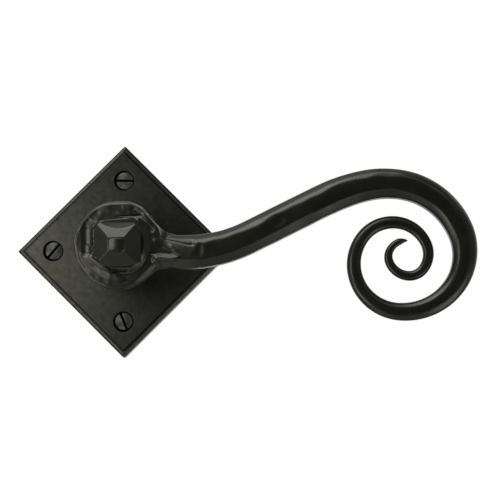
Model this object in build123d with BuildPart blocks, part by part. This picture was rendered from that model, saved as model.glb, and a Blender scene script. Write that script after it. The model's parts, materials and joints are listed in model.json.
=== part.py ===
from build123d import *
import math
import os

os.makedirs("parts", exist_ok=True)

# A sprung door lever handle in black forged iron: a lever whose bar runs out into a tapered scroll,
# on a square rose set on its corner. The door face is the plane y = 0 and the handle stands out of it
# towards -Y; the lever points along +X and Z is up. The origin is on the spindle axis at the door face.
# Every height below is measured out of the door face, so a height h lies at y = -h. All sizes in mm.

# Rose plate
plate_side = 57.0
plate_thick = 9.0
plate_corner_r = 0.6
bevel_w = 1.45
bevel_h = 1.7
step_w = 0.45
step_h = 0.55
skin = 2.0
collar_wall = 5.0

# Wood screws that hold the rose, one in each corner
screw_land = 2.1
screw_hole_r = 2.3
screw_sink_r = 3.85
screw_head_r = 3.55
screw_shank_r = 2.0
screw_thread_r = 1.7
screw_seat_gap = 0.05
screw_dome = 0.5
screw_reach = 20.0
screw_point = 5.0
slot_w = 1.0
slot_d = 0.9
slot_angles = (24.0, -2.0, 49.0, -67.0)

# Bearing of the lever in the rose
journal_r = 8.0
running_gap = 0.05
bush_wall = 1.45
thrust_t = 0.8
thrust_r = 11.6
washer_bore_gap = 0.3

# Cover over the spring recess, with its three screws
cover_inset = 0.2
cover_t = 1.2
cover_gap = 0.2
cover_bore_r = 6.6
lug_clear = 0.6
lug_r = 2.2
lug_land = 0.5
lug_angles = (30.0, 150.0, 270.0)
cover_screw_r = 1.25
cover_head_r = 2.2
cover_screw_len = 5.2
cover_head_sink = 0.05
cover_slot_w = 0.6
cover_slot_d = 0.5

# Stack on the tail of the neck, from the cover forwards
cam_gap = 0.25
cam_t = 1.6
stack_gap = 0.1
circlip_t = 1.0
circlip_w = 2.3
circlip_ear_r = 1.25
circlip_hole_r = 0.6
circlip_mouth = 4.2
groove_depth = 0.7
shim_t = 0.4
disc_t = 0.45
disc_rise = 0.4
ring_clear = 0.35

# Drive cam and the two pins that stop it
travel_deg = 45.0
stop_ring_land = 2.5
stop_pin_r = 1.25
stop_gap = 0.3
stop_pin_seat = 2.2
pin_chamfer = 0.25
cam_lug_half_deg = 12.0
cam_rim = 0.4
cam_flats = 13.2
cam_fit_gap = 0.03
horn_w = 8.6
hub_gap = 0.2

# Torsion return spring
wire_r = 0.8
wire_sides = 10
coil_clear = 0.7
coil_turns = 1.75
coil_gap = 0.15
bend_r = 1.8
tang_angle = -90.0
leg_len = 2.2
tang_gap = 0.15
tang_land = 0.8
anchor_gap = 0.05
anchor_pin_r = 1.3
anchor_pin_seat = 1.1

# Neck, spindle and grub screw
neck_len = 12.2
neck_foot_r = 12.2
neck_foot_h = 1.8
neck_waist_r = 10.4
neck_taper_h = 2.6
neck_top_r = 11.6
tenon_side = 11.0
tenon_len = 14.6
tenon_gap = 0.06
tenon_end_gap = 0.4
spindle_side = 8.0
spindle_gap = 0.06
spindle_end_gap = 0.1
socket_end_wall = 2.0
spindle_reach = 65.0
spindle_chamfer = 0.8
grub_r = 2.5
grub_rise = 5.6
grub_key = 2.5
grub_key_d = 2.4
grub_sink = 0.4
grub_gap = 0.05
grub_point = 0.7

# Lever boss
boss_r = 16.0
boss_depth = 18.2
boss_back_r = 12.6
boss_flank_h = 6.0
boss_rim_w = 1.7
boss_rim_h = 2.2
boss_crown_h = 0.9
boss_seat_r = 11.4

# Lever bar: straight out of the boss, an upward bend, a straight grip and the scroll. The scroll turns
# clockwise, with one radius for each sixth of a turn as a share of its first, and the bar thins in
# shares of the grip towards its pointed tip. The root flares into the boss in shares of the bar.
bar_rise = 11.0
bar_drop = 2.5
bar_root = 12.2
bar_grip = 11.75
flare_end = 22.0
flare_at = (0.205, 0.386, 0.523, 0.659, 0.818, 1.0)
flare_up = (0.934, 0.762, 0.459, 0.139, 0.025, 0.0)
flare_down = (0.443, 0.238, 0.041, -0.049, -0.041, 0.0)
flare_deep = (0.098, 0.082, 0.057, 0.025, 0.008, 0.0)
root_straight = 2.0
bend_radius = 53.0
bend_turn = 26.5
grip_len = 29.0
crest_r = 73.0
crest_turn = 12.4
crest_width = 11.25
brow_r = 37.0
brow_turn = 20.5
brow_width = 10.6
scroll_step = 60.0
scroll_r = 28.0
scroll_curl = (1.0, 0.743, 0.811, 0.625, 0.593, 0.489, 0.468, 0.325, 0.232, 0.282, 0.196, 0.236)
scroll_taper = (0.825, 0.68, 0.545, 0.46, 0.42, 0.39, 0.35, 0.32, 0.298, 0.264, 0.213, 0.06)
bar_cut = 0.22
coil_cut = 0.29

# Pyramid stud that clamps the lever on the neck, and the round seat under it
seat_r = 10.9
seat_t = 1.0
seat_edge = 0.35
stud_w = 16.7
stud_tall = 15.6
stud_wall = 2.1
stud_rise = 3.0
stud_top = 5.8
stud_top_tall = 5.0
stud_crown = 0.7
stud_clip = 1.5
stud_shank_r = 3.0
stud_shank_len = 13.5
stud_hole_gap = 0.2

# Heights out of the door face
edge_h = plate_thick - step_h - bevel_h
floor_h = plate_thick - skin
cover_front = cover_inset + cover_t
cam_back = cover_front + cam_gap
cam_front = cam_back + cam_t
circlip_back = cam_front + stack_gap
circlip_front = circlip_back + circlip_t
shim_front = circlip_front + shim_t
collar_end = shim_front + disc_t + disc_rise + stack_gap
shoulder_h = plate_thick + thrust_t
neck_front = shoulder_h + neck_len
bar_h = neck_front + bar_rise
boss_front = neck_front + boss_depth
seat_front = boss_front + seat_t
socket_end = neck_front - socket_end_wall
tenon_end = neck_front + tenon_len

# Radii that follow from the fits
bush_in_r = journal_r + running_gap
bush_out_r = bush_in_r + bush_wall
collar_r = bush_out_r + collar_wall
stop_ring_r = bush_out_r + stop_ring_land
coil_r = collar_r + coil_clear + wire_r
lug_ring_r = coil_r + wire_r + lug_clear + lug_r
recess_r = lug_ring_r + cover_head_r + lug_land
screw_offset = recess_r + screw_land + screw_hole_r
ring_out_r = stop_ring_r - stop_pin_r - ring_clear
groove_r = journal_r - groove_depth
hub_r = stop_ring_r - stop_pin_r - stop_gap - hub_gap
cam_lug_r = stop_ring_r + stop_pin_r + cam_rim
spindle_hole = spindle_side + 2 * spindle_gap


def at(h):
    """The plane parallel to the door that lies h in front of it, seen from the front."""
    return Plane.XZ.offset(h)


def polar(radius, degrees):
    """A point in a plane parallel to the door."""
    turn = math.radians(degrees)
    return (radius * math.cos(turn), radius * math.sin(turn))


# Angles of the stop pins: the cam lug stands midway at half travel, and each pin leaves the stop gap
pin_half_deg = math.degrees(math.asin((stop_pin_r + stop_gap) / stop_ring_r))
lug_rest_deg = 90.0 + travel_deg / 2
rest_pin_deg = lug_rest_deg + cam_lug_half_deg + pin_half_deg
travel_pin_deg = lug_rest_deg - travel_deg - cam_lug_half_deg - pin_half_deg

# Places of the spring: its rear end lies in the cam plane, its front end under the skin of the rose
tang_h = cam_back + cam_t / 2
leg_h = floor_h - coil_gap - wire_r
leg_angle = tang_angle + 360.0 * coil_turns
tang_in_r = hub_r + tang_land
anchor_r = coil_r + bend_r + leg_len - anchor_pin_r
anchor_along = bend_r - wire_r - anchor_gap - anchor_pin_r


def beside(radius, degrees, along):
    """A point at a radius, moved along the tangent there, counter-clockwise seen from the front."""
    turn = math.radians(degrees)
    x = radius * math.cos(turn) - along * math.sin(turn)
    z = radius * math.sin(turn) + along * math.cos(turn)
    return (x, z)


anchor_at = beside(anchor_r, leg_angle, anchor_along)

# Rose plate: a bevelled edge, a small step up to the flat field, and a recess behind for the spring
with BuildPart() as rose_plate:
    with BuildSketch(at(0)) as plate_outline:
        Rectangle(plate_side, plate_side, rotation=45)
        fillet(plate_outline.vertices(), plate_corner_r)
    extrude(amount=edge_h)
    band_side = plate_side - 2 * bevel_w
    field_side = band_side - 2 * step_w
    for low_h, low_side, high_h, high_side in (
        (edge_h, plate_side, edge_h + bevel_h, band_side),
        (edge_h + bevel_h, band_side, plate_thick, field_side),
    ):
        for height, side in ((low_h, low_side), (high_h, high_side)):
            with BuildSketch(at(height)) as band:
                Rectangle(side, side, rotation=45)
                fillet(band.vertices(), plate_corner_r)
        loft(ruled=True)
    with BuildSketch(at(0)):
        Circle(recess_r)
    extrude(amount=floor_h, mode=Mode.SUBTRACT)
    with BuildSketch(at(collar_end)):
        Circle(collar_r)
    extrude(amount=floor_h - collar_end)
    with BuildSketch(at(cover_front)):
        with Locations(*[polar(lug_ring_r, a) for a in lug_angles]):
            Circle(lug_r)
    extrude(amount=floor_h - cover_front)
    with BuildSketch(at(collar_end)):
        Circle(bush_out_r)
    extrude(amount=plate_thick - collar_end, mode=Mode.SUBTRACT)
    with BuildSketch(at(0)):
        with PolarLocations(screw_offset, 4):
            Circle(screw_hole_r)
    extrude(amount=plate_thick, mode=Mode.SUBTRACT)
    sink_depth = screw_sink_r - screw_hole_r
    for turn in range(4):
        screw_x, screw_z = polar(screw_offset, 90.0 * turn)
        with BuildSketch(Plane((screw_x, -plate_thick, screw_z), x_dir=(1, 0, 0), z_dir=(0, 0, 1))):
            with BuildLine():
                Polyline((0, 0), (screw_sink_r, 0), (screw_hole_r, sink_depth), (0, sink_depth), close=True)
            make_face()
        revolve(axis=Axis((screw_x, 0, screw_z), (0, 1, 0)), mode=Mode.SUBTRACT)
    with BuildSketch(at(cover_front)):
        with Locations(*[polar(lug_ring_r, a) for a in lug_angles]):
            Circle(cover_screw_r)
    extrude(amount=cover_screw_len - cover_t, mode=Mode.SUBTRACT)
    with BuildSketch(at(collar_end)):
        with Locations(polar(stop_ring_r, rest_pin_deg), polar(stop_ring_r, travel_pin_deg)):
            Circle(stop_pin_r)
    extrude(amount=stop_pin_seat, mode=Mode.SUBTRACT)
    with BuildSketch(at(floor_h)):
        with Locations(anchor_at):
            Circle(anchor_pin_r)
    extrude(amount=anchor_pin_seat, mode=Mode.SUBTRACT)
rose_plate.part.label = "rose_plate"
export_step(rose_plate.part, "parts/rose_plate.step")

# Bearing bush, flush with the collar behind and with the field in front
with BuildPart() as neck_bush:
    with BuildSketch(at(collar_end)):
        Circle(bush_out_r)
        Circle(bush_in_r, mode=Mode.SUBTRACT)
    extrude(amount=plate_thick - collar_end)
neck_bush.part.label = "neck_bush"
export_step(neck_bush.part, "parts/neck_bush.step")

# Thrust washer between the field of the rose and the foot of the neck
with BuildPart() as thrust_washer:
    with BuildSketch(at(plate_thick)):
        Circle(thrust_r)
        Circle(journal_r + washer_bore_gap, mode=Mode.SUBTRACT)
    extrude(amount=thrust_t)
thrust_washer.part.label = "thrust_washer"
export_step(thrust_washer.part, "parts/thrust_washer.step")

# Stop pins, pressed into the collar and reaching back past the cam lug
with BuildPart() as rest_stop_pin:
    with BuildSketch(at(cam_back)):
        with Locations(polar(stop_ring_r, rest_pin_deg)):
            Circle(stop_pin_r)
    extrude(amount=collar_end - cam_back + stop_pin_seat)
    chamfer(rest_stop_pin.faces().sort_by(Axis.Y)[-1].edges(), pin_chamfer)
rest_stop_pin.part.label = "rest_stop_pin"
export_step(rest_stop_pin.part, "parts/rest_stop_pin.step")

with BuildPart() as travel_stop_pin:
    with BuildSketch(at(cam_back)):
        with Locations(polar(stop_ring_r, travel_pin_deg)):
            Circle(stop_pin_r)
    extrude(amount=collar_end - cam_back + stop_pin_seat)
    chamfer(travel_stop_pin.faces().sort_by(Axis.Y)[-1].edges(), pin_chamfer)
travel_stop_pin.part.label = "travel_stop_pin"
export_step(travel_stop_pin.part, "parts/travel_stop_pin.step")

# Anchor pin of the spring, pressed into the floor of the recess
with BuildPart() as spring_anchor_pin:
    with BuildSketch(at(cam_back)):
        with Locations(anchor_at):
            Circle(anchor_pin_r)
    extrude(amount=floor_h - cam_back + anchor_pin_seat)
    chamfer(spring_anchor_pin.faces().sort_by(Axis.Y)[-1].edges(), pin_chamfer)
spring_anchor_pin.part.label = "spring_anchor_pin"
export_step(spring_anchor_pin.part, "parts/spring_anchor_pin.step")

# Cover plate that closes the recess, a little below the door face
with BuildPart() as spring_cover:
    with BuildSketch(at(cover_inset)):
        Circle(recess_r - cover_gap)
        Circle(cover_bore_r, mode=Mode.SUBTRACT)
    extrude(amount=cover_t)
    cover_sink = cover_head_r - cover_screw_r
    for angle in lug_angles:
        lug_x, lug_z = polar(lug_ring_r, angle)
        with BuildSketch(Plane((lug_x, 0, lug_z), x_dir=(1, 0, 0), z_dir=(0, 0, 1))):
            with BuildLine():
                Polyline(
                    (0, -cover_inset),
                    (cover_head_r + cover_gap, -cover_inset),
                    (cover_screw_r + cover_gap, -cover_inset - cover_sink),
                    (cover_screw_r + cover_gap, -cover_front),
                    (0, -cover_front),
                    close=True,
                )
            make_face()
        revolve(axis=Axis((lug_x, 0, lug_z), (0, 1, 0)), mode=Mode.SUBTRACT)
spring_cover.part.label = "spring_cover"
export_step(spring_cover.part, "parts/spring_cover.step")

# Countersunk screws of the cover, in the lugs of the rose
with BuildPart() as cover_screws:
    head_back = cover_inset + cover_head_sink
    for angle in lug_angles:
        lug_x, lug_z = polar(lug_ring_r, angle)
        with BuildSketch(Plane((lug_x, 0, lug_z), x_dir=(1, 0, 0), z_dir=(0, 0, 1))):
            with BuildLine():
                Polyline(
                    (0, -head_back),
                    (cover_head_r, -head_back),
                    (cover_screw_r, -head_back - cover_sink),
                    (cover_screw_r, -cover_inset - cover_screw_len + cover_screw_r),
                    (0, -cover_inset - cover_screw_len + cover_screw_r / 4),
                    close=True,
                )
            make_face()
        revolve(axis=Axis((lug_x, 0, lug_z), (0, 1, 0)))
    with BuildSketch(at(head_back)):
        with Locations(*[polar(lug_ring_r, a) for a in lug_angles]):
            Rectangle(3 * cover_head_r, cover_slot_w, rotation=35)
    extrude(amount=cover_slot_d, mode=Mode.SUBTRACT)
cover_screws.part.label = "cover_screws"
export_step(cover_screws.part, "parts/cover_screws.step")

# Slotted wood screws with raised countersunk heads: a plain shank in the rose, and in the door the thread
# at its mean width, with its point
with BuildPart() as rose_screws:
    head_h = plate_thick - (screw_sink_r - screw_head_r) + screw_seat_gap
    head_cone = screw_head_r - screw_shank_r
    for turn, slot_angle in enumerate(slot_angles):
        screw_x, screw_z = polar(screw_offset, 90.0 * turn)
        with BuildSketch(Plane((screw_x, 0, screw_z), x_dir=(1, 0, 0), z_dir=(0, 0, 1))):
            with BuildLine():
                Polyline(
                    (0, -head_h - screw_dome),
                    (0, screw_reach),
                    (screw_thread_r, screw_reach - screw_point),
                    (screw_thread_r, 0),
                    (screw_shank_r, 0),
                    (screw_shank_r, -head_h + head_cone),
                    (screw_head_r, -head_h),
                )
                RadiusArc(
                    (screw_head_r, -head_h),
                    (0, -head_h - screw_dome),
                    (screw_head_r**2 + screw_dome**2) / (2 * screw_dome),
                )
            make_face()
        revolve(axis=Axis((screw_x, 0, screw_z), (0, 1, 0)))
        with BuildSketch(at(head_h + screw_dome)):
            with Locations((screw_x, screw_z)):
                Rectangle(3 * screw_head_r, slot_w, rotation=slot_angle)
        extrude(amount=-slot_d - screw_dome, mode=Mode.SUBTRACT)
rose_screws.part.label = "rose_screws"
export_step(rose_screws.part, "parts/rose_screws.step")

# Neck: a journal with a circlip groove and a flatted tail behind, a waisted barrel that stands on the
# thrust washer, and a square tenon in front, bored for the spindle from behind and for the stud in front
with BuildPart() as lever_neck:
    with BuildSketch(Plane.XY):
        with BuildLine():
            Polyline(
                (0, -neck_front),
                (0, -cam_back),
                (journal_r, -cam_back),
                (journal_r, -circlip_back + stack_gap / 2),
                (groove_r, -circlip_back + stack_gap / 2),
                (groove_r, -circlip_front - stack_gap / 2),
                (journal_r, -circlip_front - stack_gap / 2),
                (journal_r, -shoulder_h),
                (neck_foot_r, -shoulder_h),
                (neck_foot_r, -shoulder_h - neck_foot_h),
                (neck_waist_r, -shoulder_h - neck_foot_h - neck_taper_h),
                (neck_waist_r, -neck_front + neck_taper_h),
                (neck_top_r, -neck_front),
                close=True,
            )
        make_face()
    revolve(axis=Axis.Y)
    with BuildSketch(at(neck_front)):
        Rectangle(tenon_side, tenon_side)
    extrude(amount=tenon_len)
    with BuildSketch(at(cam_back)):
        Circle(neck_foot_r)
        Rectangle(cam_flats, 2 * neck_foot_r, mode=Mode.SUBTRACT)
    extrude(amount=cam_t + stack_gap / 2, mode=Mode.SUBTRACT)
    with BuildSketch(at(cam_back)):
        Rectangle(spindle_hole, spindle_hole)
    extrude(amount=socket_end - cam_back, mode=Mode.SUBTRACT)
    with BuildSketch(at(seat_front - stud_shank_len)):
        Circle(stud_shank_r)
    extrude(amount=stud_shank_len, mode=Mode.SUBTRACT)
    with BuildSketch(Plane((0, -shoulder_h - grub_rise, 0), x_dir=(1, 0, 0), z_dir=(0, 0, -1))):
        Circle(grub_r)
    extrude(amount=neck_foot_r, mode=Mode.SUBTRACT)
lever_neck.part.label = "lever_neck"
export_step(lever_neck.part, "parts/lever_neck.step")

# Square spindle that goes through the door
with BuildPart() as spindle:
    with BuildSketch(at(-spindle_reach)):
        Rectangle(spindle_side, spindle_side)
    extrude(amount=spindle_reach + socket_end - spindle_end_gap)
    chamfer(spindle.faces().sort_by(Axis.Y)[-1].edges(), spindle_chamfer)
    chamfer(spindle.faces().sort_by(Axis.Y)[0].edges(), spindle_chamfer)
spindle.part.label = "spindle"
export_step(spindle.part, "parts/spindle.step")

# Grub screw from below that holds the spindle in the neck
with BuildPart() as grub_screw:
    grub_top = -spindle_side / 2 - grub_gap
    with BuildSketch(Plane((0, -shoulder_h - grub_rise, grub_top), (1, 0, 0), (0, 0, -1))):
        Circle(grub_r)
    extrude(amount=neck_waist_r - grub_sink + grub_top)
    chamfer(grub_screw.faces().sort_by(Axis.Z)[-1].edges(), grub_point)
    with BuildSketch(Plane(grub_screw.faces().sort_by(Axis.Z)[0])):
        RegularPolygon(grub_key / 2, 6, major_radius=False)
    extrude(amount=-grub_key_d, mode=Mode.SUBTRACT)
grub_screw.part.label = "grub_screw"
export_step(grub_screw.part, "parts/grub_screw.step")

# Drive cam on the flats of the tail: one lug between the stop pins and one horn with the spring's notch
with BuildPart() as drive_cam:
    with BuildSketch(at(cam_back)):
        Circle(hub_r)
        with BuildLine():
            lug_low = polar(cam_lug_r, lug_rest_deg - cam_lug_half_deg)
            lug_mid = polar(cam_lug_r, lug_rest_deg)
            lug_high = polar(cam_lug_r, lug_rest_deg + cam_lug_half_deg)
            Line((0, 0), lug_low)
            ThreePointArc(lug_low, lug_mid, lug_high)
            Line(lug_high, (0, 0))
        make_face()
        with Locations(Location((0, 0), tang_angle)):
            with Locations((cam_lug_r / 2, -bend_r)):
                Rectangle(cam_lug_r, horn_w)
        with Locations(Location((0, 0), tang_angle)):
            with Locations((tang_in_r - tang_gap + cam_lug_r / 2, -bend_r)):
                Rectangle(cam_lug_r, 2 * wire_r + 2 * tang_gap, mode=Mode.SUBTRACT)
    extrude(amount=cam_t)
    with BuildSketch(at(cam_back)) as cam_bore:
        Circle(journal_r + cam_fit_gap)
        Rectangle(cam_flats + 2 * cam_fit_gap, 2 * hub_r, mode=Mode.INTERSECT)
    extrude(amount=cam_t, mode=Mode.SUBTRACT)
drive_cam.part.label = "drive_cam"
export_step(drive_cam.part, "parts/drive_cam.step")

# Retaining circlip in the groove, with its two eyes at the mouth
with BuildPart() as retaining_circlip:
    with BuildSketch(at(circlip_back)):
        Circle(groove_r + circlip_w)
        Circle(groove_r, mode=Mode.SUBTRACT)
        with Locations((0, -groove_r - circlip_w)):
            Rectangle(circlip_mouth, 2 * circlip_w + 2 * groove_depth, mode=Mode.SUBTRACT)
        ear_x = circlip_mouth / 2 + circlip_ear_r
        ear_z = -math.sqrt((ring_out_r - circlip_ear_r) ** 2 - ear_x**2)
        with Locations((-ear_x, ear_z), (ear_x, ear_z)):
            Circle(circlip_ear_r)
            Circle(circlip_hole_r, mode=Mode.SUBTRACT)
    extrude(amount=circlip_t)
retaining_circlip.part.label = "retaining_circlip"
export_step(retaining_circlip.part, "parts/retaining_circlip.step")

# Shim on the circlip, and the disc spring that takes up the play against the collar
with BuildPart() as shim_washer:
    with BuildSketch(at(circlip_front)):
        Circle(ring_out_r)
        Circle(journal_r + running_gap, mode=Mode.SUBTRACT)
    extrude(amount=shim_t)
shim_washer.part.label = "shim_washer"
export_step(shim_washer.part, "parts/shim_washer.step")

with BuildPart() as disc_spring:
    with BuildSketch(Plane.XY):
        with BuildLine():
            Polyline(
                (journal_r + washer_bore_gap, -shim_front),
                (journal_r + washer_bore_gap, -shim_front - disc_t),
                (ring_out_r, -shim_front - disc_t - disc_rise),
                (ring_out_r, -shim_front - disc_rise),
                close=True,
            )
        make_face()
    revolve(axis=Axis.Y)
disc_spring.part.label = "disc_spring"
export_step(disc_spring.part, "parts/disc_spring.step")


def helix_point(part_turn):
    """Centre of the wire after part of the winding, clockwise seen from the front and going back."""
    turned = leg_angle - 360.0 * coil_turns * part_turn
    x, z = polar(coil_r, turned)
    return Vector(x, -(leg_h + (tang_h - leg_h) * part_turn), z)


def helix_tangent(part_turn):
    """Direction of the wire there, level at both ends."""
    turned = math.radians(leg_angle - 360.0 * coil_turns * part_turn)
    slope = 0.0
    if 0.001 < part_turn < 0.999:
        slope = (leg_h - tang_h) / (2 * math.pi * coil_r * coil_turns)
    return Vector(math.sin(turned), slope, -math.cos(turned)).normalized()


def biarc_joint(p0, t0, p1, t1):
    """Where two arcs meet that leave p0 along t0 and reach p1 along t1."""
    chord = p1 - p0
    both = t0 + t1
    spread = 2 * (1 - t0.dot(t1))
    reach = chord.dot(both)
    d = (math.sqrt(reach * reach + spread * chord.dot(chord)) - reach) / spread
    return (p0 + t0 * d + p1 - t1 * d) * 0.5


# Torsion spring: one round wire, its front leg out against the anchor pin, its rear tang in the horn
with BuildPart() as return_spring:
    leg_x, leg_z = beside(coil_r + bend_r + leg_len, leg_angle, bend_r)
    leg_x2, leg_z2 = beside(coil_r + bend_r, leg_angle, bend_r)
    tang_x, tang_z = beside(coil_r - bend_r, tang_angle, -bend_r)
    tang_x2, tang_z2 = beside(tang_in_r, tang_angle, -bend_r)
    quarters = round(4 * coil_turns)
    with BuildLine() as wire_path:
        leg = Line(Vector(leg_x, -leg_h, leg_z), Vector(leg_x2, -leg_h, leg_z2))
        TangentArc(leg @ 1, helix_point(0), tangent=leg % 1)
        for step in range(quarters):
            start, end = helix_point(step / quarters), helix_point((step + 1) / quarters)
            start_dir, end_dir = helix_tangent(step / quarters), helix_tangent((step + 1) / quarters)
            joint = biarc_joint(start, start_dir, end, end_dir)
            first = TangentArc(start, joint, tangent=start_dir)
            TangentArc(joint, end, tangent=first % 1)
        TangentArc(helix_point(1), Vector(tang_x, -tang_h, tang_z), tangent=helix_tangent(1))
        Line(Vector(tang_x, -tang_h, tang_z), Vector(tang_x2, -tang_h, tang_z2))
    with BuildSketch(Plane(origin=leg @ 0, z_dir=leg % 0)):
        RegularPolygon(wire_r, wire_sides)
    sweep(path=wire_path.wire())
return_spring.part.label = "return_spring"
export_step(return_spring.part, "parts/return_spring.step")

# Least gap of the wire to itself, between points at least half a turn apart
wire_points = [helix_point(i / 240) for i in range(241)]
apart = round(240 / coil_turns / 2)
least = min(
    (wire_points[j] - wire_points[i]).length for i in range(241) for j in range(i + apart, 241)
)
print("return spring: least gap between its turns", round(least - 2 * wire_r, 3), "mm")


def bar_section(place, heading, width, cut):
    """Octagonal section of the bar, square to its path: a square with cut corners."""
    with BuildSketch(Plane(place, x_dir=(0, -1, 0), z_dir=heading)) as section:
        Rectangle(width, width)
        chamfer(section.vertices(), width * cut)
    return section.sketch


# Lever: a turned boss, a flared root and the octagonal bar that tapers away into the scroll
with BuildPart() as lever:
    with BuildSketch(Plane.XY):
        with BuildLine():
            Polyline(
                (0, -boss_front),
                (0, -neck_front),
                (boss_back_r, -neck_front),
                (boss_r, -neck_front - boss_flank_h),
                (boss_r, -boss_front + boss_crown_h + boss_rim_h),
                (boss_r - boss_rim_w, -boss_front + boss_crown_h),
                (boss_seat_r, -boss_front),
                close=True,
            )
        make_face()
    revolve(axis=Axis.Y)
    for along, up, down, deep in zip(flare_at, flare_up, flare_down, flare_deep):
        flare_place = (along * flare_end, -bar_h, bar_root * (up - down) / 2 - bar_drop)
        with BuildSketch(Plane(flare_place, x_dir=(0, -1, 0), z_dir=(1, 0, 0))) as flare:
            Rectangle(bar_root * (1 + deep), bar_root * (1 + up + down))
            chamfer(flare.vertices(), bar_root * bar_cut)
    loft()
    with BuildLine(at(bar_h)) as bar_path:
        bar = Line((flare_end, -bar_drop), (flare_end + root_straight, -bar_drop))
        stations = [(bar @ 0, bar % 0, bar_root, bar_cut), (bar @ 1, bar % 1, bar_root, bar_cut)]
        bar = JernArc(bar @ 1, bar % 1, bend_radius, bend_turn)
        stations.append((bar @ 1, bar % 1, bar_grip, bar_cut))
        bar = Line(bar @ 1, (bar @ 1) + (bar % 1) * grip_len)
        stations.append((bar @ 1, bar % 1, bar_grip, bar_cut))
        bar = JernArc(bar @ 1, bar % 1, crest_r, -crest_turn)
        stations.append((bar @ 1, bar % 1, crest_width, bar_cut))
        bar = JernArc(bar @ 1, bar % 1, brow_r, -brow_turn)
        stations.append((bar @ 1, bar % 1, brow_width, bar_cut))
        for count, (curl, taper) in enumerate(zip(scroll_curl, scroll_taper)):
            bar = JernArc(bar @ 1, bar % 1, scroll_r * curl, -scroll_step)
            cut = bar_cut + (coil_cut - bar_cut) * min(1.0, 2 * (count + 1) / len(scroll_curl))
            stations.append((bar @ 1, bar % 1, bar_grip * taper, cut))
    sweep(
        sections=[bar_section(*station) for station in stations],
        path=bar_path.wire(),
        multisection=True,
    )
    with BuildSketch(at(neck_front)):
        Rectangle(tenon_side + 2 * tenon_gap, tenon_side + 2 * tenon_gap)
    extrude(amount=tenon_len + tenon_end_gap, mode=Mode.SUBTRACT)
    with BuildSketch(at(neck_front)):
        Circle(stud_shank_r + stud_hole_gap)
    extrude(amount=boss_depth, mode=Mode.SUBTRACT)
lever.part.label = "lever"
export_step(lever.part, "parts/lever.step")

# Round seat between the boss and the stud
with BuildPart() as stud_seat:
    with BuildSketch(at(boss_front)):
        Circle(seat_r)
        Circle(stud_shank_r + stud_hole_gap, mode=Mode.SUBTRACT)
    extrude(amount=seat_t)
    chamfer(stud_seat.faces().sort_by(Axis.Y)[0].outer_wire().edges(), seat_edge)
stud_seat.part.label = "stud_seat"
export_step(stud_seat.part, "parts/stud_seat.step")

# Pyramid stud: a low square block with clipped corners, drawn up to a small crowned top, and its shank
with BuildPart() as pyramid_stud:
    with BuildSketch(at(seat_front)) as stud_base:
        Rectangle(stud_w, stud_tall)
        chamfer(stud_base.vertices(), stud_clip)
    extrude(amount=stud_wall)
    with BuildSketch(at(seat_front + stud_wall)) as stud_low:
        Rectangle(stud_w, stud_tall)
        chamfer(stud_low.vertices(), stud_clip)
    with BuildSketch(at(seat_front + stud_wall + stud_rise)) as stud_high:
        Rectangle(stud_top, stud_top_tall)
        chamfer(stud_high.vertices(), stud_clip * stud_top / stud_w)
    loft(ruled=True)
    with BuildSketch(at(seat_front + stud_wall + stud_rise)):
        Rectangle(stud_top, stud_top_tall)
    with BuildSketch(at(seat_front + stud_wall + stud_rise + stud_crown)):
        Rectangle(stud_top - 2 * stud_crown, stud_top_tall - 2 * stud_crown)
    loft(ruled=True)
    with BuildSketch(at(seat_front - stud_shank_len)):
        Circle(stud_shank_r)
    extrude(amount=stud_shank_len)
pyramid_stud.part.label = "pyramid_stud"
export_step(pyramid_stud.part, "parts/pyramid_stud.step")
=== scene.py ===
import bpy
import bmesh
import json
import math
import numpy as np
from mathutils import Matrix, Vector

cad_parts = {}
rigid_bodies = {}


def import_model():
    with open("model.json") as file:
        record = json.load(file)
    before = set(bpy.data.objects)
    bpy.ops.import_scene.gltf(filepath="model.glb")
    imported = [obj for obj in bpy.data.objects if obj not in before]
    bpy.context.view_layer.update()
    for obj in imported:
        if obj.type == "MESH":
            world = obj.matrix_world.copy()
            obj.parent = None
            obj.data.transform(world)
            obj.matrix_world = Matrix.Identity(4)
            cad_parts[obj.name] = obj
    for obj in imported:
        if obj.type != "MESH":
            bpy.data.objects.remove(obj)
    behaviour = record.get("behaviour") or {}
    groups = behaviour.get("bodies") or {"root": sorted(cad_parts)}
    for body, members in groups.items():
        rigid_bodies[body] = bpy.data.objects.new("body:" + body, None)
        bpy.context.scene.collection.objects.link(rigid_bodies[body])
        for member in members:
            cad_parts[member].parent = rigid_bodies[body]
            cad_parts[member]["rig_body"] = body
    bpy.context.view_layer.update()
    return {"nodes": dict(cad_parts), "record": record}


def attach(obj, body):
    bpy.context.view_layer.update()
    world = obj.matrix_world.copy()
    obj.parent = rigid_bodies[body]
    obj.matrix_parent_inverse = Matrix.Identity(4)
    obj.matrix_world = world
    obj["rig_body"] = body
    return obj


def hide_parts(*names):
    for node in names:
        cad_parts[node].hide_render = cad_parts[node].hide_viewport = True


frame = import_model()
nodes = frame["nodes"]

# Sizes of the part are in mm. A place on it is (x, z) in a plane parallel to the door and a height h out
# of the door face, so that y = -h. Angles are in degrees.
MM = 0.001
ROOT2 = math.sqrt(2.0)


# Curves, planes and blends that the distance fields are made of

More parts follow.
